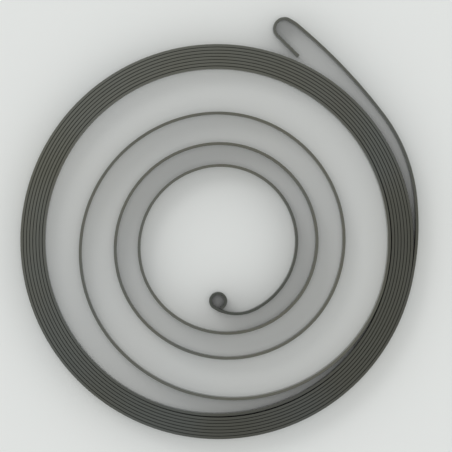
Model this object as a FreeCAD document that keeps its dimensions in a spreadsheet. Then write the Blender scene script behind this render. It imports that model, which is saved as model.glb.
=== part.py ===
import FreeCAD, Part
import math
import os
import Sketcher
from FreeCAD import Vector

# Recoil starter spring, in millimetres: one strip of spring steel wound flat, at rest.
# The strip stands on its edge on the XY plane and the coil's centre is the origin.
# Seen from +Z the strip turns left all the way from its inner eye to its outer hook.
# The course is a chain of tangent arcs: eye, lead, open turns, tight wraps, leg, hairpin.

SIZES = {
    # the strip itself
    "strip_thickness": 0.55,
    "strip_width": 6.5,
    # the tight wraps, from the outer face where the last wrap ends at the joint line
    "coil_radius": 39.8,
    "joint_angle": 347.0,
    "tight_turns": 8,
    "wrap_gap": 0.08,
    "first_gap": 0.1,
    # the strip leaves the innermost wrap with a short sharper bend
    "join_drop": 6.95,
    "join_sweep": 7.0,
    # the open turns, each bend's radius a step smaller than the one outside it
    "run_in_drop": 3.05,
    "run_in_sweep": 120.5,
    "first_drop": 3.4,
    "second_drop": 2.75,
    "third_drop": 2.2,
    "fourth_drop": 1.9,
    "fifth_drop": 1.65,
    "sixth_drop": 1.6,
    "seventh_drop": 1.35,
    "bend_sweep": 120.0,
    "hub_drop": 1.35,
    "hub_sweep": 163.0,
    # the inner end: a sharper lead, then the eye that hooks on the drum's post
    "lead_radius": 8.3,
    "lead_sweep": 58.5,
    "eye_bore_radius": 1.25,
    "eye_gap": 0.05,
    # the outer end: off the last wrap, a nearly straight leg, then the hairpin hook
    "leaving_rise": 14.6,
    "leaving_sweep": 18.5,
    "edge_inset": 6.5,
    "edge_sweep": 31.7,
    "leg_radius": 108.7,
    "hook_standoff": 4.74,
    "shoulder_radius": 10.1,
    "shoulder_sweep": 12.3,
    "hairpin_bore_radius": 1.725,
    "hairpin_sweep": 163.1,
    "short_leg": 5.9,
}

OPEN_DROPS = [
    "first_drop",
    "second_drop",
    "third_drop",
    "fourth_drop",
    "fifth_drop",
    "sixth_drop",
    "seventh_drop",
]

doc = FreeCAD.newDocument("recoil_starter_spring")
sheet = doc.addObject("Spreadsheet::Sheet", "sizes")
for row, (alias, value) in enumerate(SIZES.items(), start=1):
    sheet.set(f"A{row}", alias)
    sheet.set(f"B{row}", str(value))
    sheet.setAlias(f"B{row}", alias)
doc.recompute()


class Amount:
    """A sum of sheet values, kept both as a number and as an expression."""

    def __init__(self, terms):
        self.terms = {alias: share for alias, share in terms.items() if share}

    def plus(self, terms):
        joined = dict(self.terms)
        for alias, share in terms.items():
            joined[alias] = joined.get(alias, 0) + share
        return Amount(joined)

    def number(self):
        return sum(share * SIZES[alias] for alias, share in self.terms.items())

    def text(self):
        return " + ".join(f"{share} * sizes.{alias}" for alias, share in self.terms.items())


def tight_wraps():
    """The half turns of the two-centre spiral, from the innermost outwards."""
    turns = int(SIZES["tight_turns"])
    outer = Amount({"coil_radius": 1, "strip_thickness": -0.5})
    halves = []
    for index in range(2 * (turns - 1)):
        share = -(index + 0.5) / 2
        halves.append(outer.plus({"strip_thickness": share, "wrap_gap": share}))
    last = outer.plus({"strip_thickness": 1 - turns, "wrap_gap": 1 - turns})
    halves.append(last.plus({"strip_thickness": -0.25, "first_gap": -0.25}))
    halves.append(last.plus({"strip_thickness": -0.75, "first_gap": -0.75}))
    inner = last.plus({"strip_thickness": -1, "first_gap": -1})
    return outer, inner, halves[::-1]


def eye_sweep():
    """The eye turns until its tip stands the eye gap short of the lead's inner face."""
    eye = SIZES["eye_bore_radius"] + SIZES["strip_thickness"] / 2
    lead = SIZES["lead_radius"]
    tip = SIZES["eye_bore_radius"] + SIZES["strip_thickness"]
    face = lead - SIZES["strip_thickness"] / 2 - SIZES["eye_gap"]
    between = lead - eye
    cosine = (face**2 - tip**2 - between**2) / (2 * tip * between)
    number = 360 - math.degrees(math.acos(cosine))
    eye_text = "(sizes.eye_bore_radius + sizes.strip_thickness / 2)"
    tip_text = "(sizes.eye_bore_radius + sizes.strip_thickness)"
    face_text = "(sizes.lead_radius - sizes.strip_thickness / 2 - sizes.eye_gap)"
    between_text = f"(sizes.lead_radius - {eye_text})"
    over = f"({face_text} ^ 2 - {tip_text} ^ 2 - {between_text} ^ 2)"
    text = f"360 deg - acos({over} / (2 * {tip_text} * {between_text}))"
    return number, text


def course():
    """Every arc from the inner tip outwards: name, radius, sweep and the sweep's expression.

    The leg has no sweep of its own: it runs until the hairpin stands off the wraps.
    """
    outer, inner, halves = tight_wraps()

    def arc(name, radius, sweep):
        return name, radius, SIZES[sweep], f"sizes.{sweep} * 1 deg"

    open_turns = [arc("join", inner.plus({"join_drop": -1}), "join_sweep")]
    radius = inner.plus({"run_in_drop": -1})
    open_turns.append(arc("run_in", radius, "run_in_sweep"))
    for drop in OPEN_DROPS:
        radius = radius.plus({drop: -1})
        open_turns.append(arc(drop.replace("drop", "bend"), radius, "bend_sweep"))
    open_turns.append(arc("hub", radius.plus({"hub_drop": -1}), "hub_sweep"))
    open_turns.append(arc("lead", Amount({"lead_radius": 1}), "lead_sweep"))
    eye = Amount({"eye_bore_radius": 1, "strip_thickness": 0.5})
    arcs = [("eye", eye, *eye_sweep())]
    arcs.extend(open_turns[::-1])
    first_wrap = len(arcs)
    for index, half in enumerate(halves, start=1):
        arcs.append((f"wrap_half_{index}", half, 180.0, "180 deg"))
    arcs.append(arc("leaving", outer.plus({"leaving_rise": 1}), "leaving_sweep"))
    arcs.append(arc("edge", outer.plus({"edge_inset": -1}), "edge_sweep"))
    arcs.append(("leg", Amount({"leg_radius": 1}), None, None))
    arcs.append(arc("shoulder", Amount({"shoulder_radius": 1}), "shoulder_sweep"))
    hairpin = Amount({"hairpin_bore_radius": 1, "strip_thickness": 0.5})
    arcs.append(arc("hairpin", hairpin, "hairpin_sweep"))
    return inner, arcs, first_wrap


def turn_about(x, y, heading, radius, sweep):
    """The centre of a left-hand arc and the place and heading at its end."""
    centre = Vector(x - radius * math.sin(heading), y + radius * math.cos(heading), 0)
    heading = heading + sweep
    end_x = centre.x + radius * math.sin(heading)
    end_y = centre.y - radius * math.cos(heading)
    return centre, end_x, end_y, heading


def leg_sweep(x, y, heading, ahead):
    """How far the leg turns until the hairpin's centre stands off the wraps, in radians."""
    leg, shoulder, hairpin = (radius.number() for _, radius, _, _ in ahead)
    bend = math.radians(ahead[1][2])
    centre, _, _, _ = turn_about(x, y, heading, leg, 0)
    across = (shoulder - hairpin) * math.sin(bend)
    along = shoulder - leg - (shoulder - hairpin) * math.cos(bend)
    arm = Vector(across, along, 0)
    reach = SIZES["coil_radius"] + SIZES["hook_standoff"]
    cosine = (reach**2 - centre.Length**2 - arm.Length**2) / (2 * centre.Length * arm.Length)
    direction = math.atan2(centre.y, centre.x) - math.acos(cosine)
    turned = direction - math.atan2(arm.y, arm.x) - heading
    return turned % (2 * math.pi)


def centreline_geometry(inner, arcs, first_wrap):
    """The arcs and the short leg, laid out so that the wraps sit on the joint line."""
    line = math.radians(SIZES["joint_angle"])
    x = inner.number() * math.cos(line)
    y = inner.number() * math.sin(line)
    heading = line + math.pi / 2
    for _, radius, sweep, _ in reversed(arcs[:first_wrap]):
        _, x, y, heading = turn_about(x, y, heading, radius.number(), -math.radians(sweep))
    geometry = []
    for index, (_, radius, sweep, _) in enumerate(arcs):
        start = heading - math.pi / 2
        if sweep is None:
            reach = leg_sweep(x, y, heading, arcs[index:])
        else:
            reach = math.radians(sweep)
        centre, x, y, heading = turn_about(x, y, heading, radius.number(), reach)
        circle = Part.Circle(centre, Vector(0, 0, 1), radius.number())
        geometry.append(Part.ArcOfCircle(circle, start, start + reach))
    tip = Vector(math.cos(heading), math.sin(heading), 0) * SIZES["short_leg"]
    geometry.append(Part.LineSegment(Vector(x, y, 0), Vector(x, y, 0) + tip))
    return geometry


def origin_plane(body, role):
    return next(item for item in body.Origin.OriginFeatures if item.Role == role)


def bind(sketch, name, constraint, text):
    """Add one named constraint and tie it to the sheet."""
    index = sketch.addConstraint(constraint)
    sketch.renameConstraint(index, name)
    sketch.setExpression(f"Constraints.{name}", text)


def draw_centreline(body):
    """The strip's course as one fully constrained sketch."""
    inner, arcs, first_wrap = course()
    sketch = body.newObject("Sketcher::SketchObject", "strip_centreline")
    sketch.AttachmentSupport = (origin_plane(body, "XY_Plane"), [""])
    sketch.MapMode = "FlatFace"
    sketch.addGeometry(centreline_geometry(inner, arcs, first_wrap), False)
    tangents = [Sketcher.Constraint("Tangent", index, 2, index + 1, 1) for index in range(len(arcs))]
    sketch.addConstraint(tangents)
    line = math.radians(SIZES["joint_angle"])
    across = inner.number() * math.cos(line)
    up = inner.number() * math.sin(line)
    along_x = f"({inner.text()}) * cos(sizes.joint_angle * 1 deg)"
    along_y = f"({inner.text()}) * sin(sizes.joint_angle * 1 deg)"
    start_x = Sketcher.Constraint("DistanceX", -1, 1, first_wrap, 1, across)
    bind(sketch, "first_wrap_x", start_x, along_x)
    start_y = Sketcher.Constraint("DistanceY", -1, 1, first_wrap, 1, up)
    bind(sketch, "first_wrap_y", start_y, along_y)
    first_radius = arcs[first_wrap][1]
    offset = (inner.number() - first_radius.number()) * math.cos(line)
    offset_text = f"({inner.text()} - ({first_radius.text()})) * cos(sizes.joint_angle * 1 deg)"
    centre_x = Sketcher.Constraint("DistanceX", -1, 1, first_wrap, 3, offset)
    bind(sketch, "first_centre_x", centre_x, offset_text)
    for index, (name, radius, sweep, sweep_text) in enumerate(arcs):
        size = Sketcher.Constraint("Radius", index, radius.number())
        bind(sketch, f"{name}_radius", size, radius.text())
        if sweep is not None:
            angle = Sketcher.Constraint("Angle", index, math.radians(sweep))
            bind(sketch, f"{name}_angle", angle, sweep_text)
    reach = SIZES["coil_radius"] + SIZES["hook_standoff"]
    hook = Sketcher.Constraint("Distance", -1, 1, len(arcs) - 1, 3, reach)
    bind(sketch, "hook_reach", hook, "sizes.coil_radius + sizes.hook_standoff")
    length = Sketcher.Constraint("Distance", len(arcs), SIZES["short_leg"])
    bind(sketch, "short_leg_length", length, "sizes.short_leg")
    doc.recompute()
    return sketch


def draw_section(body, centreline):
    """The strip's rectangular section, standing on its edge at the inner tip."""
    half = SIZES["strip_thickness"] / 2
    top = SIZES["strip_width"]
    sketch = body.newObject("Sketcher::SketchObject", "strip_section")
    sketch.AttachmentSupport = (centreline, ["Edge1"])
    sketch.MapMode = "NormalToEdge"
    sketch.MapPathParameter = 0.0
    corners = [Vector(-half, 0, 0), Vector(half, 0, 0), Vector(half, top, 0), Vector(-half, top, 0)]
    sides = [Part.LineSegment(corners[index], corners[(index + 1) % 4]) for index in range(4)]
    sketch.addGeometry(sides, False)
    joins = [Sketcher.Constraint("Coincident", index, 2, (index + 1) % 4, 1) for index in range(4)]
    joins.append(Sketcher.Constraint("Horizontal", 0))
    joins.append(Sketcher.Constraint("Vertical", 1))
    joins.append(Sketcher.Constraint("Horizontal", 2))
    joins.append(Sketcher.Constraint("Vertical", 3))
    joins.append(Sketcher.Constraint("PointOnObject", 0, 1, -1))
    sketch.addConstraint(joins)
    side = Sketcher.Constraint("DistanceX", 0, 1, -1, 1, half)
    bind(sketch, "half_thickness", side, "sizes.strip_thickness / 2")
    thickness = Sketcher.Constraint("DistanceX", 0, 1, 0, 2, 2 * half)
    bind(sketch, "thickness", thickness, "sizes.strip_thickness")
    width = Sketcher.Constraint("DistanceY", 1, 1, 1, 2, top)
    bind(sketch, "width", width, "sizes.strip_width")
    doc.recompute()
    return sketch


def build_strip():
    """The whole spring: the section swept along the course as one solid."""
    body = doc.addObject("PartDesign::Body", "spring_strip")
    body.Label = "spring_strip"
    centreline = draw_centreline(body)
    section = draw_section(body, centreline)
    strip = body.newObject("PartDesign::AdditivePipe", "swept_strip")
    strip.Profile = section
    strip.Spine = (centreline, [])
    body.Tip = strip
    doc.recompute()
    return body, centreline, section, strip


body, centreline, section, strip = build_strip()

for item in doc.Objects:
    if "Invalid" in item.State or "Error" in item.State:
        raise RuntimeError(f"{item.Name} failed: {item.State}")
for sketch in (centreline, section):
    if not sketch.FullyConstrained:
        raise RuntimeError(f"{sketch.Name} isn't fully constrained")
if body.Shape.isNull() or not body.Shape.isValid():
    raise RuntimeError("the strip has no valid shape")
if len(body.Shape.Solids) != 1:
    raise RuntimeError("the strip isn't one solid")
expected = centreline.Shape.Length * SIZES["strip_thickness"] * SIZES["strip_width"]
if abs(body.Shape.Volume / expected - 1) > 1e-4:
    raise RuntimeError("the strip's volume isn't its section times its length")

os.makedirs("parts", exist_ok=True)
body.Shape.exportStep(f"parts/{body.Label}.step")
box = body.Shape.BoundBox
print(f"strip length {centreline.Shape.Length:.1f} mm, volume {body.Shape.Volume:.1f} mm3")
print(f"box x {box.XMin:.2f} {box.XMax:.2f} y {box.YMin:.2f} {box.YMax:.2f} z {box.ZMin:.2f} {box.ZMax:.2f}")
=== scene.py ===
"""Recoil starter spring: one strip of tempered spring steel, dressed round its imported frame."""

import logging
import math
from dataclasses import dataclass, field
from enum import Enum
from typing import Any, Optional

import bpy
from mathutils import Matrix, Quaternion, Vector


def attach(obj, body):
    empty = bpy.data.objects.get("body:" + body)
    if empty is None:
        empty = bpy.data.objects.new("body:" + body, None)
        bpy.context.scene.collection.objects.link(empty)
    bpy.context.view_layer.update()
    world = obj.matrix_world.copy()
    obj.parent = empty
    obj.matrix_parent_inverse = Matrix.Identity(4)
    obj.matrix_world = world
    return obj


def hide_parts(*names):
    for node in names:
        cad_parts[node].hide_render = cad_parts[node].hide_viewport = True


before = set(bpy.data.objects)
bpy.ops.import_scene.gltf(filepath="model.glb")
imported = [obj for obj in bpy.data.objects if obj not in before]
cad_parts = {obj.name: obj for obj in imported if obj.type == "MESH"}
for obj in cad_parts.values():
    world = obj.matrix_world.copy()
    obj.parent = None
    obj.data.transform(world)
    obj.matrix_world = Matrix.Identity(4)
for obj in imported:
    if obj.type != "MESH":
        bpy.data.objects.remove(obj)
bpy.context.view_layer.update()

MM = 0.001
SRGB_KNEE = 0.04045
SRGB_SLOPE = 12.92
SRGB_LIFT = 0.055
SRGB_POWER = 2.4
LOG = logging.getLogger("recoil_starter_spring")


class Along(Enum):
    """Names of the attributes that the strip's mesh carries for its finish."""

    LENGTH = "strip_length_along"


class Lamp(Enum):
    """The soft lamps of the studio."""

    KEY = "key"
    FILL = "fill"


def linear_colour(hex_code: str) -> tuple[float, float, float, float]:
    """Turn an sRGB hex value into a linear colour.

    Args:
        hex_code: six hex digits, such as "6b6d69".

    Returns:
        The linear red, green, blue and an alpha of 1.
    """
    channels = []
    for start in (0, 2, 4):
        value = int(hex_code[start : start + 2], 16) / 255
        if value <= SRGB_KNEE:
            channels.append(value / SRGB_SLOPE)
        else:
            channels.append(((value + SRGB_LIFT) / (1 + SRGB_LIFT)) ** SRGB_POWER)
    return channels[0], channels[1], channels[2], 1.0


def add_node(
    tree: bpy.types.NodeTree, kind: str, inputs: Optional[dict] = None, **settings: Any
) -> bpy.types.Node:
    """Add one node with its settings, values and links.

    Args:
        tree: the node tree that gets the node.
        kind: the node's bl_idname.
        inputs: socket name or index to a plain value, or to an output socket to link from.
        settings: the node's own properties.

    Returns:
        The new node.
    """
    node = tree.nodes.new(kind)
    for name, value in settings.items():
        setattr(node, name, value)
    for key, value in (inputs or {}).items():
        if isinstance(value, bpy.types.NodeSocket):
            tree.links.new(value, node.inputs[key])
        else:
            node.inputs[key].default_value = value
    return node


@dataclass(frozen=True)
class Arc:
    """One left-hand bend of the strip's centreline: radius in millimetres, sweep in degrees."""

    radius: float
    sweep: float


@dataclass
class StripCourse:
    """The strip's centreline as a chain of tangent arcs, in millimetres and degrees.

    A bend given as a pair has how far its radius differs from that of the wrap or turn beside
    it, and its sweep.
    """

    thickness: float = 0.55
    coil_radius: float = 39.8
    joint_angle: float = 347.0
    tight_turns: int = 8
    wrap_gap: float = 0.08
    first_gap: float = 0.1
    # Where the innermost wrap stands a little off its neighbour: from and to, in degrees from
    # the joint line, and the most that it stands off.
    slack: tuple[tuple[float, float, float], ...] = ((-25.0, 55.0, 0.09), (252.0, 340.0, 0.17))
    join: tuple[float, float] = (6.95, 7.0)
    run_in: tuple[float, float] = (3.05, 120.5)
    open_drops: tuple[float, ...] = (3.4, 2.75, 2.2, 1.9, 1.65, 1.6, 1.35)
    bend_sweep: float = 120.0
    hub: tuple[float, float] = (1.35, 163.0)
    lead: Arc = Arc(8.3, 58.5)
    eye_bore_radius: float = 1.25
    eye_gap: float = 0.05
    leaving: tuple[float, float] = (14.6, 18.5)
    edge: tuple[float, float] = (6.5, 31.7)
    leg: Arc = Arc(108.7, 13.0)
    shoulder: Arc = Arc(10.1, 12.3)
    hairpin_bore_radius: float = 1.725
    hairpin_sweep: float = 163.1
    short_leg: float = 5.9
    chord_error: float = 0.006
    longest_step: float = 6.0

    def outer_radius(self) -> float:
        """Centreline radius where the last tight wrap ends on the joint line."""
        return self.coil_radius - self.thickness / 2

    def inner_radius(self) -> float:
        """Centreline radius where the innermost tight wrap starts on the joint line."""
        even_wraps = (self.tight_turns - 1) * (self.thickness + self.wrap_gap)
        return self.outer_radius() - even_wraps - self.thickness - self.first_gap

    def wraps(self) -> list[Arc]:
        """The half turns of the tight wraps, from the innermost outwards."""
        steps = [(self.thickness + self.first_gap) / 2] * 2
        steps += [(self.thickness + self.wrap_gap) / 2] * (2 * self.tight_turns - 2)
        halves = []
        radius = self.inner_radius()
        for step in steps:
            halves.append(Arc(radius + step / 2, 180.0))
            radius += step
        return halves

    def open_turns(self) -> list[Arc]:
        """The eye, the lead and the open turns, from the inner tip outwards."""
        inner = self.inner_radius()
        turns = [Arc(inner - self.join[0], self.join[1])]
        radius = inner - self.run_in[0]
        turns.append(Arc(radius, self.run_in[1]))
        for drop in self.open_drops:
            radius -= drop
            turns.append(Arc(radius, self.bend_sweep))
        turns.append(Arc(radius - self.hub[0], self.hub[1]))
        turns.append(self.lead)
        turns.append(self.eye())
        return turns[::-1]

    def eye(self) -> Arc:
        """The rolled eye, whose tip stands the eye gap short of the lead's inner face."""
        radius = self.eye_bore_radius + self.thickness / 2
        tip = self.eye_bore_radius + self.thickness
        face = self.lead.radius - self.thickness / 2 - self.eye_gap
        between = self.lead.radius - radius
        cosine = (face**2 - tip**2 - between**2) / (2 * tip * between)
        return Arc(radius, 360 - math.degrees(math.acos(cosine)))

    def hook(self) -> list[Arc]:
        """The bends from the last wrap to the end of the hairpin."""
        outer = self.outer_radius()
        hairpin = Arc(self.hairpin_bore_radius + self.thickness / 2, self.hairpin_sweep)
        leaving = Arc(outer + self.leaving[0], self.leaving[1])
        edge = Arc(outer - self.edge[0], self.edge[1])
        return [leaving, edge, self.leg, self.shoulder, hairpin]

    def open_length(self) -> float:
        """Length of the strip from the inner tip to where the tight wraps start."""
        return sum(arc.radius * math.radians(arc.sweep) for arc in self.open_turns())

    def inner_tip(self) -> tuple[float, float, float]:
        """Walk back from the joint line to the inner tip.

        Returns:
            The tip's x and y in millimetres and the heading there in radians.
        """
        line = math.radians(self.joint_angle)
        x = self.inner_radius() * math.cos(line)
        y = self.inner_radius() * math.sin(line)
        heading = line + math.pi / 2
        for arc in reversed(self.open_turns()):
            x -= arc.radius * math.sin(heading)
            y += arc.radius * math.cos(heading)
            heading -= math.radians(arc.sweep)
            x += arc.radius * math.sin(heading)
            y -= arc.radius * math.cos(heading)
        return x, y, heading

    def standing_in(self, turned: float) -> float:
        """How far the innermost wrap stands in from an even winding.

        Args:
            turned: degrees turned since the joint line where that wrap starts.

        Returns:
            The distance towards the coil's centre in millimetres.
        """
        for first, last, depth in self.slack:
            if first < turned < last:
                return depth * math.sin(math.pi * (turned - first) / (last - first)) ** 2
        return 0.0

    def points(self) -> list[Vector]:
        """The centreline's points on the table plane, in metres, from the inner tip outwards."""
        x, y, heading = self.inner_tip()
        wrap_start = heading + math.radians(sum(arc.sweep for arc in self.open_turns()))
        points = [Vector((x, y, 0.0))]
        for arc in [*self.open_turns(), *self.wraps(), *self.hook()]:
            centre_x = x - arc.radius * math.sin(heading)
            centre_y = y + arc.radius * math.cos(heading)
            widest = 2 * math.degrees(math.acos(1 - self.chord_error / arc.radius))
            count = math.ceil(arc.sweep / min(widest, self.longest_step))
            for _ in range(count):
                heading += math.radians(arc.sweep) / count
                x = centre_x + arc.radius * math.sin(heading)
                y = centre_y - arc.radius * math.cos(heading)
                inwards = Vector((-math.sin(heading), math.cos(heading), 0.0))
                depth = self.standing_in(math.degrees(heading - wrap_start))
                points.append(Vector((x, y, 0.0)) + depth * inwards)
        x += self.short_leg * math.cos(heading)
        y += self.short_leg * math.sin(heading)
        points.append(Vector((x, y, 0.0)))
        return [point * MM for point in points]


@dataclass(frozen=True)
class TemperedSpringSteel:
    """Hardened and tempered carbon steel strip, cold rolled and slit.

    The tempering oxide makes it a dark grey with straw and blue casts. The rolled faces are
    smooth and glossy, with fine lines along the strip, and the slit edges are duller. On the
    tight wraps the edges get painted shade, which darkens them towards one side of the coil,
    while the open turns have none. The inner end was heated to roll its eye, and that left it
    darker. Lengths are in millimetres, and the heading is in degrees.
    """

    name: str = "tempered_spring_steel_painted_shade"
    oxide_grey: str = "6a6b65"
    straw_cast: str = "6e6c5f"
    blue_cast: str = "61686a"
    cast_size: float = 22.0
    cast_detail: float = 2.0
    cast_stops: tuple[float, float, float] = (0.35, 0.5, 0.65)
    # The edge colour, and the same edge darkened as painted shade. The darker one takes over
    # towards the heading below, on the tight wraps.
    unshaded_edge: str = "686860"
    painted_shade_edge: str = "4b4c48"
    edge_height: float = 0.3
    cast_on_edges: float = 0.25
    # Painted shade: the heading that the edges darken towards, how far across the coil that takes,
    # and half the length over which it sets in where the tight wraps start.
    shade_heading: float = -56.0
    shade_reach: float = 46.0
    shade_onset: float = 25.0
    annealed_end: str = "52544f"
    # Dark up to the first length from the inner tip, and like the rest from the second on.
    annealed_length: tuple[float, float] = (12.0, 60.0)
    # The real rolling lines are some hundredths of a millimetre apart. They are drawn at the
    # length and height below, which is as coarse as they have to be to show.
    rolling_line: tuple[float, float] = (18.0, 0.22)
    line_detail: float = 3.0
    line_band: tuple[float, float] = (0.3, 0.7)
    line_tone: tuple[float, float] = (0.88, 1.12)
    line_gloss: tuple[float, float] = (0.8, 1.3)
    line_depth: float = 0.02
    line_strength: float = 0.15
    metallic: float = 0.9
    face_roughness: float = 0.24
    edge_roughness: float = 0.56

    def lines(
        self,
        tree: bpy.types.NodeTree,
        along: bpy.types.NodeSocket,
        height: bpy.types.NodeSocket,
    ) -> bpy.types.NodeSocket:
        """Add the fine lines that the rolls leave along the strip.

        Args:
            tree: the material's tree.
            along: the length along the strip, in metres.
            height: the height across the strip, in metres.

        Returns:
            The lines' noise.
        """
        line_length, line_height = self.rolling_line
        slow = add_node(
            tree,
            "ShaderNodeMath",
            {0: along, 1: line_height / line_length},
            operation="MULTIPLY",
        )
        sheet = add_node(tree, "ShaderNodeCombineXYZ", {"X": slow.outputs[0], "Z": height})
        noise = add_node(
            tree,
            "ShaderNodeTexNoise",
            {
                "Vector": sheet.outputs[0],
                "Scale": 1 / (line_height * MM),
                "Detail": self.line_detail,
            },
        )
        return noise.outputs["Fac"]

    def edge_share(
        self, tree: bpy.types.NodeTree, height: bpy.types.NodeSocket, width: float
    ) -> bpy.types.NodeSocket:
        """Add the share of a slit edge's look.

        Args:
            tree: the material's tree.
            height: the height across the strip, in metres.
            width: the strip's width, in millimetres.

        Returns:
            The share, 0 on the faces and near 1 on the edges.
        """
        half = width / 2 * MM
        off_middle = add_node(tree, "ShaderNodeMath", {0: height, 1: half}, operation="SUBTRACT")
        distance = add_node(
            tree, "ShaderNodeMath", {0: off_middle.outputs[0]}, operation="ABSOLUTE"
        )
        edge = add_node(
            tree,
            "ShaderNodeMapRange",
            {
                "Value": distance.outputs[0],
                "From Min": half - self.edge_height * MM,
                "From Max": half,
                "To Max": 1 - self.cast_on_edges,
            },
            interpolation_type="SMOOTHSTEP",
        )
        return edge.outputs["Result"]

    def painted_shade_share(
        self,
        tree: bpy.types.NodeTree,
        place: bpy.types.NodeSocket,
        patches: bpy.types.NodeSocket,
        wrapped: bpy.types.NodeSocket,
    ) -> bpy.types.NodeSocket:
        """Add the share of painted shade on the edges, which grows towards the shade heading.

        Args:
            tree: the material's tree.
            place: Object coordinates.
            patches: a noise that breaks up the painted shade's border.
            wrapped: 1 on the tight wraps and 0 on the open turns.

        Returns:
            The share, 0 where the edges have no painted shade.
        """
        heading = math.radians(self.shade_heading)
        reach = 2 * self.shade_reach * MM
        run = add_node(
            tree,
            "ShaderNodeVectorMath",
            {0: place, 1: (math.cos(heading), math.sin(heading), 0.0)},
            operation="DOT_PRODUCT",
        )
        patchy = add_node(
            tree,
            "ShaderNodeMath",
            {0: patches, 1: reach, 2: run.outputs["Value"]},
            operation="MULTIPLY_ADD",
        )
        shade_ramp = add_node(
            tree,
            "ShaderNodeMapRange",
            {"Value": patchy.outputs[0], "From Min": 0.0, "From Max": reach},
        )
        wrap_shade = add_node(
            tree, "ShaderNodeMath", {0: shade_ramp.outputs["Result"], 1: wrapped}, operation="MULTIPLY"
        )
        return wrap_shade.outputs[0]

    def material(self, width: float, open_length: float) -> bpy.types.Material:
        """Build the strip's material.

        Args:
            width: the strip's width, in millimetres.
            open_length: length of the open turns along the strip, in millimetres.

        Returns:
            The material, with its pattern on Object coordinates and the strip's own length.
        """
        material = bpy.data.materials.new(self.name)
        material.use_nodes = True
        tree = material.node_tree
        tree.nodes.clear()
        place = add_node(tree, "ShaderNodeTexCoord").outputs["Object"]
        height = add_node(tree, "ShaderNodeSeparateXYZ", {"Vector": place}).outputs["Z"]
        along = add_node(
            tree, "ShaderNodeAttribute", attribute_name=Along.LENGTH.value
        ).outputs["Fac"]
        lines = self.lines(tree, along, height)
        edge = self.edge_share(tree, height, width)
        patches = add_node(
            tree,
            "ShaderNodeTexNoise",
            {"Vector": place, "Scale": 1 / (self.cast_size * MM), "Detail": self.cast_detail},
        ).outputs["Fac"]
        casts = add_node(tree, "ShaderNodeValToRGB", {"Fac": patches})
        stops = casts.color_ramp.elements
        stops.new(self.cast_stops[1])
        colours = (self.blue_cast, self.oxide_grey, self.straw_cast)
        for stop, position, colour in zip(stops, self.cast_stops, colours):
            stop.position = position
            stop.color = linear_colour(colour)
        tone = add_node(
            tree,
            "ShaderNodeMapRange",
            {
                "Value": lines,
                "From Min": self.line_band[0],
                "From Max": self.line_band[1],
                "To Min": self.line_tone[0],
                "To Max": self.line_tone[1],
            },
        )
        face = add_node(
            tree,
            "ShaderNodeHueSaturation",
            {"Value": tone.outputs["Result"], "Color": casts.outputs["Color"]},
        )
        wrapped = add_node(
            tree,
            "ShaderNodeMapRange",
            {
                "Value": along,
                "From Min": (open_length - self.shade_onset) * MM,
                "From Max": (open_length + self.shade_onset) * MM,
            },
            interpolation_type="SMOOTHSTEP",
        )
        # Painted shade: the edges of the tight wraps darken towards the shade heading.
        edge_colour = add_node(
            tree,
            "ShaderNodeMix",
            {
                "Factor": self.painted_shade_share(tree, place, patches, wrapped.outputs["Result"]),
                6: linear_colour(self.unshaded_edge),
                7: linear_colour(self.painted_shade_edge),
            },
            data_type="RGBA",
        )
        colour = add_node(
            tree,
            "ShaderNodeMix",
            {"Factor": edge, 6: face.outputs["Color"], 7: edge_colour.outputs[2]},
            data_type="RGBA",
        )
        dark_to, light_from = self.annealed_length
        heated = add_node(
            tree,
            "ShaderNodeMapRange",
            {"Value": along, "From Min": light_from * MM, "From Max": dark_to * MM},
            interpolation_type="SMOOTHSTEP",
        )
        tinted = add_node(
            tree,
            "ShaderNodeMix",
            {
                "Factor": heated.outputs["Result"],
                6: colour.outputs[2],
                7: linear_colour(self.annealed_end),
            },
            data_type="RGBA",
        )
        dullness = add_node(
            tree,
            "ShaderNodeMapRange",
            {"Value": edge, "To Min": self.face_roughness, "To Max": self.edge_roughness},
        )
        streaks = add_node(
            tree,
            "ShaderNodeMapRange",
            {
                "Value": lines,
                "From Min": self.line_band[0],
                "From Max": self.line_band[1],
                "To Min": self.line_gloss[0],
                "To Max": self.line_gloss[1],
            },
        )
        roughness = add_node(
            tree,
            "ShaderNodeMath",
            {0: dullness.outputs["Result"], 1: streaks.outputs["Result"]},
            operation="MULTIPLY",
        )
        bump = add_node(
            tree,
            "ShaderNodeBump",
            {"Strength": self.line_strength, "Distance": self.line_depth * MM, "Height": lines},
        )
        surface = add_node(
            tree,
            "ShaderNodeBsdfPrincipled",
            {
                "Base Color": tinted.outputs[2],
                "Metallic": self.metallic,
                "Roughness": roughness.outputs[0],
                "Normal": bump.outputs["Normal"],
            },
        )
        add_node(tree, "ShaderNodeOutputMaterial", {"Surface": surface.outputs["BSDF"]})
        return material


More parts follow.
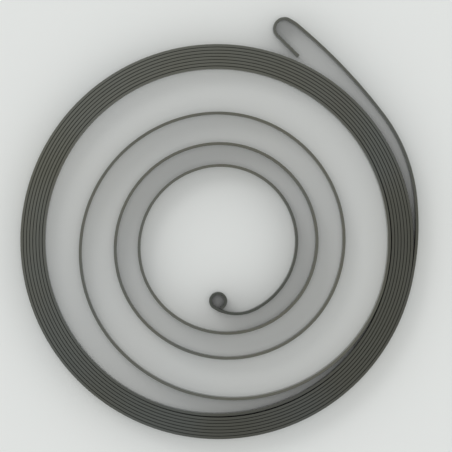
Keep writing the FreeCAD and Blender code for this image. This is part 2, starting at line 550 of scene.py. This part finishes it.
@dataclass
class SpringStrip:
    """The spring's only piece: a rolled strip with rounded edges along its whole course."""

    course: StripCourse = field(default_factory=StripCourse)
    finish: TemperedSpringSteel = field(default_factory=TemperedSpringSteel)
    width: float = 6.5
    edge_radius: float = 0.06
    edge_steps: int = 3
    face_border: float = 0.15
    border_lines: int = 2
    crease_angle: float = 50.0
    node: str = "spring_strip"
    slot: str = "spring_steel"

    def sweep_tree(self) -> bpy.types.NodeTree:
        """Make the node tree that sweeps the rounded section along a line of edges.

        Returns:
            A Geometry Nodes tree with named inputs for the section's sizes.
        """
        tree = bpy.data.node_groups.new("strip_sweep", "GeometryNodeTree")
        sockets = tree.interface
        sockets.new_socket("Course", in_out="INPUT", socket_type="NodeSocketGeometry")
        for name in ("Thickness", "Width", "Edge Radius", "Face Border"):
            sockets.new_socket(name, in_out="INPUT", socket_type="NodeSocketFloat")
        sockets.new_socket("Edge Steps", in_out="INPUT", socket_type="NodeSocketInt")
        sockets.new_socket("Finish", in_out="INPUT", socket_type="NodeSocketMaterial")
        sockets.new_socket("Strip", in_out="OUTPUT", socket_type="NodeSocketGeometry")
        given = add_node(tree, "NodeGroupInput").outputs
        line = add_node(tree, "GeometryNodeMeshToCurve", {"Mesh": given["Course"]})
        upright = add_node(
            tree, "GeometryNodeSetCurveNormal", {"Curve": line.outputs[0]}, mode="Z_UP"
        )
        length = add_node(tree, "GeometryNodeSplineParameter")
        measured = add_node(
            tree,
            "GeometryNodeStoreNamedAttribute",
            {
                "Geometry": upright.outputs[0],
                "Name": Along.LENGTH.value,
                "Value": length.outputs["Length"],
            },
            data_type="FLOAT",
            domain="POINT",
        )
        section = self.section_nodes(tree, given)
        swept = add_node(
            tree,
            "GeometryNodeCurveToMesh",
            {"Curve": measured.outputs[0], "Profile Curve": section, "Fill Caps": True},
        )
        angle = add_node(tree, "GeometryNodeInputMeshEdgeAngle")
        corner = add_node(
            tree,
            "FunctionNodeCompare",
            {0: angle.outputs["Unsigned Angle"], 1: math.radians(self.crease_angle)},
            operation="GREATER_THAN",
        )
        smooth = add_node(
            tree, "GeometryNodeSetShadeSmooth", {0: swept.outputs[0], "Shade Smooth": True}
        )
        crisp = add_node(
            tree,
            "GeometryNodeSetShadeSmooth",
            {0: smooth.outputs[0], "Selection": corner.outputs[0], "Shade Smooth": False},
            domain="EDGE",
        )
        real = add_node(tree, "GeometryNodeRealizeInstances", {0: crisp.outputs[0]})
        dressed = add_node(
            tree,
            "GeometryNodeSetMaterial",
            {"Geometry": real.outputs[0], "Material": given["Finish"]},
        )
        add_node(tree, "NodeGroupOutput", {"Strip": dressed.outputs[0]})
        return tree

    def section_nodes(self, tree: bpy.types.NodeTree, given: Any) -> bpy.types.NodeSocket:
        """Add the nodes of the rounded section, with a border line beside each rounded edge.

        Args:
            tree: the sweep's tree.
            given: the outputs of the tree's input node.

        Returns:
            The socket with the section's closed curve.
        """
        box = add_node(
            tree,
            "GeometryNodeCurvePrimitiveQuadrilateral",
            {"Width": given["Thickness"], "Height": given["Width"]},
            mode="RECTANGLE",
        )
        rounded = add_node(
            tree,
            "GeometryNodeFilletCurve",
            {
                "Curve": box.outputs[0],
                "Count": given["Edge Steps"],
                "Radius": given["Edge Radius"],
            },
            mode="POLY",
        )
        index = add_node(tree, "GeometryNodeInputIndex")
        per_corner = add_node(
            tree,
            "FunctionNodeIntegerMath",
            {0: given["Edge Steps"], 1: 1},
            operation="ADD",
        )
        order = add_node(
            tree,
            "FunctionNodeIntegerMath",
            {0: index.outputs[0], 1: per_corner.outputs[0]},
            operation="MODULO",
        )
        last = add_node(
            tree,
            "FunctionNodeCompare",
            {2: order.outputs[0], 3: given["Edge Steps"]},
            data_type="INT",
            operation="EQUAL",
        )
        cuts = add_node(
            tree,
            "FunctionNodeIntegerMath",
            {0: last.outputs[0], 1: self.border_lines},
            operation="MULTIPLY",
        )
        divided = add_node(
            tree,
            "GeometryNodeSubdivideCurve",
            {"Curve": rounded.outputs[0], "Cuts": cuts.outputs[0]},
        )
        position = add_node(tree, "GeometryNodeInputPosition")
        place = add_node(tree, "ShaderNodeSeparateXYZ", {0: position.outputs[0]})
        half = add_node(tree, "ShaderNodeMath", {0: given["Width"], 1: 0.5}, operation="MULTIPLY")
        flat = add_node(
            tree,
            "ShaderNodeMath",
            {0: half.outputs[0], 1: given["Edge Radius"]},
            operation="SUBTRACT",
        )
        border = add_node(
            tree,
            "ShaderNodeMath",
            {0: flat.outputs[0], 1: given["Face Border"]},
            operation="SUBTRACT",
        )
        away = add_node(tree, "ShaderNodeMath", {0: place.outputs["Y"]}, operation="ABSOLUTE")
        on_face = add_node(
            tree,
            "FunctionNodeCompare",
            {0: away.outputs[0], 1: border.outputs[0]},
            operation="LESS_THAN",
        )
        side = add_node(tree, "ShaderNodeMath", {0: place.outputs["Y"]}, operation="SIGN")
        moved_y = add_node(
            tree,
            "ShaderNodeMath",
            {0: side.outputs[0], 1: border.outputs[0]},
            operation="MULTIPLY",
        )
        target = add_node(
            tree, "ShaderNodeCombineXYZ", {"X": place.outputs["X"], "Y": moved_y.outputs[0]}
        )
        bordered = add_node(
            tree,
            "GeometryNodeSetPosition",
            {
                "Geometry": divided.outputs[0],
                "Selection": on_face.outputs[0],
                "Position": target.outputs[0],
            },
        )
        drop = add_node(tree, "ShaderNodeMath", {0: half.outputs[0], 1: -1.0}, operation="MULTIPLY")
        lift = add_node(tree, "ShaderNodeCombineXYZ", {"Y": drop.outputs[0]})
        standing = add_node(
            tree,
            "GeometryNodeTransform",
            {"Geometry": bordered.outputs[0], "Translation": lift.outputs[0]},
        )
        return standing.outputs[0]

    def build(self) -> bpy.types.Object:
        """Sweep the section along the course and bind the mesh to the frame.

        Returns:
            The finished strip as a plain mesh object at the origin.
        """
        points = self.course.points()
        line = bpy.data.meshes.new("strip_course")
        line.from_pydata(points, [(index, index + 1) for index in range(len(points) - 1)], [])
        guide = bpy.data.objects.new("strip_course", line)
        bpy.context.scene.collection.objects.link(guide)
        tree = self.sweep_tree()
        modifier = guide.modifiers.new("strip_sweep", "NODES")
        modifier.node_group = tree
        values = {
            "Thickness": self.course.thickness * MM,
            "Width": self.width * MM,
            "Edge Radius": self.edge_radius * MM,
            "Face Border": self.face_border * MM,
            "Edge Steps": self.edge_steps,
            "Finish": self.finish.material(self.width, self.course.open_length()),
        }
        for item in tree.interface.items_tree:
            if item.name in values:
                modifier[item.identifier] = values[item.name]
        graph = bpy.context.evaluated_depsgraph_get()
        mesh = bpy.data.meshes.new_from_object(guide.evaluated_get(graph))
        guide.modifiers.remove(modifier)
        bpy.data.objects.remove(guide)
        strip = bpy.data.objects.new("steel_strip", mesh)
        bpy.context.scene.collection.objects.link(strip)
        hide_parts(self.node)
        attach(strip, "root")
        return strip


@dataclass(frozen=True)
class PaleBoard:
    """The plain board that the spring lies on, in matt off-white paint, which shows no shine."""

    name: str = "matt_white_board"
    colour: str = "e1e2e0"
    roughness: float = 0.7
    side: float = 4.0

    def build(self) -> bpy.types.Object:
        """Make the board with its material.

        Returns:
            The board.
        """
        half = self.side / 2
        mesh = bpy.data.meshes.new("board")
        corners = [(-half, -half, 0), (half, -half, 0), (half, half, 0), (-half, half, 0)]
        mesh.from_pydata(corners, [], [(0, 1, 2, 3)])
        board = bpy.data.objects.new("board", mesh)
        material = bpy.data.materials.new(self.name)
        material.use_nodes = True
        surface = material.node_tree.nodes["Principled BSDF"]
        surface.inputs["Base Color"].default_value = linear_colour(self.colour)
        surface.inputs["Roughness"].default_value = self.roughness
        mesh.materials.append(material)
        bpy.context.scene.collection.objects.link(board)
        return board


@dataclass
class Studio:
    """Plain soft light: a pale world, a wide key lamp to one side and a wide fill overhead."""

    world_colour: str = "f2f4f4"
    world_strength: float = 0.87
    places: dict[Lamp, tuple[float, float, float]] = field(
        default_factory=lambda: {Lamp.KEY: (-0.4, 0.5, 1.0), Lamp.FILL: (0.0, -0.01, 1.3)}
    )
    powers: dict[Lamp, float] = field(default_factory=lambda: {Lamp.KEY: 1.1, Lamp.FILL: 2.7})
    lamp_size: float = 0.42

    def build(self) -> None:
        """Make the world and the lamps."""
        world = bpy.data.worlds.new("pale_room")
        world.use_nodes = True
        background = world.node_tree.nodes["Background"]
        background.inputs["Color"].default_value = linear_colour(self.world_colour)
        background.inputs["Strength"].default_value = self.world_strength
        bpy.context.scene.world = world
        for lamp, place in self.places.items():
            light = bpy.data.lights.new(f"{lamp.value}_lamp", "AREA")
            light.shape = "DISK"
            light.size = self.lamp_size
            light.energy = self.powers[lamp]
            holder = bpy.data.objects.new(f"{lamp.value}_lamp", light)
            # The overhead lamp would show as a glare in the strip's upper edge.
            holder.visible_glossy = lamp is not Lamp.FILL
            holder.location = place
            holder.rotation_mode = "QUATERNION"
            holder.rotation_quaternion = (-Vector(place)).to_track_quat("-Z", "Y")
            bpy.context.scene.collection.objects.link(holder)


@dataclass(frozen=True)
class PhotoCamera:
    """A camera high above the coil, aimed at the middle of the frame, in millimetres."""

    above: tuple[float, float] = (-10.06, 9.27)
    centre: tuple[float, float] = (1.64, 2.97)
    strip_top: float = 6.5
    distance: float = 1204.0
    frame_width: float = 90.4
    sensor: float = 36.0
    near: float = 100.0
    far: float = 10000.0

    def upright(self, view: Vector) -> Quaternion:
        """Turn the camera along a view line with the picture's up side towards +Y.

        Args:
            view: the direction from the camera to its aim.

        Returns:
            The camera's rotation.
        """
        back = -view.normalized()
        right = Vector((0.0, 1.0, 0.0)).cross(back).normalized()
        up = back.cross(right)
        return Matrix((right, up, back)).transposed().to_quaternion()

    def build(self) -> bpy.types.Object:
        """Make the camera and set it as the scene's own.

        Returns:
            The camera object.
        """
        data = bpy.data.cameras.new("photo_camera")
        data.sensor_width = self.sensor
        data.lens = self.sensor * self.distance / self.frame_width
        data.clip_start = self.near * MM
        data.clip_end = self.far * MM
        camera = bpy.data.objects.new("photo_camera", data)
        place = Vector((*self.above, self.distance + self.strip_top)) * MM
        aim = Vector((*self.centre, self.strip_top)) * MM
        camera.location = place
        camera.rotation_mode = "QUATERNION"
        camera.rotation_quaternion = self.upright(aim - place)
        bpy.context.scene.collection.objects.link(camera)
        bpy.context.scene.camera = camera
        return camera


def main() -> None:
    """Build the spring, the board, the light and the camera in order."""
    logging.basicConfig(level=logging.INFO, format="%(name)s: %(message)s")
    bpy.context.scene.view_settings.view_transform = "Standard"
    strip = SpringStrip().build()
    LOG.info("strip with %d faces", len(strip.data.polygons))
    PaleBoard().build()
    Studio().build()
    PhotoCamera().build()
    LOG.info("board, lamps and camera in place")


if __name__ == "__main__":
    main()
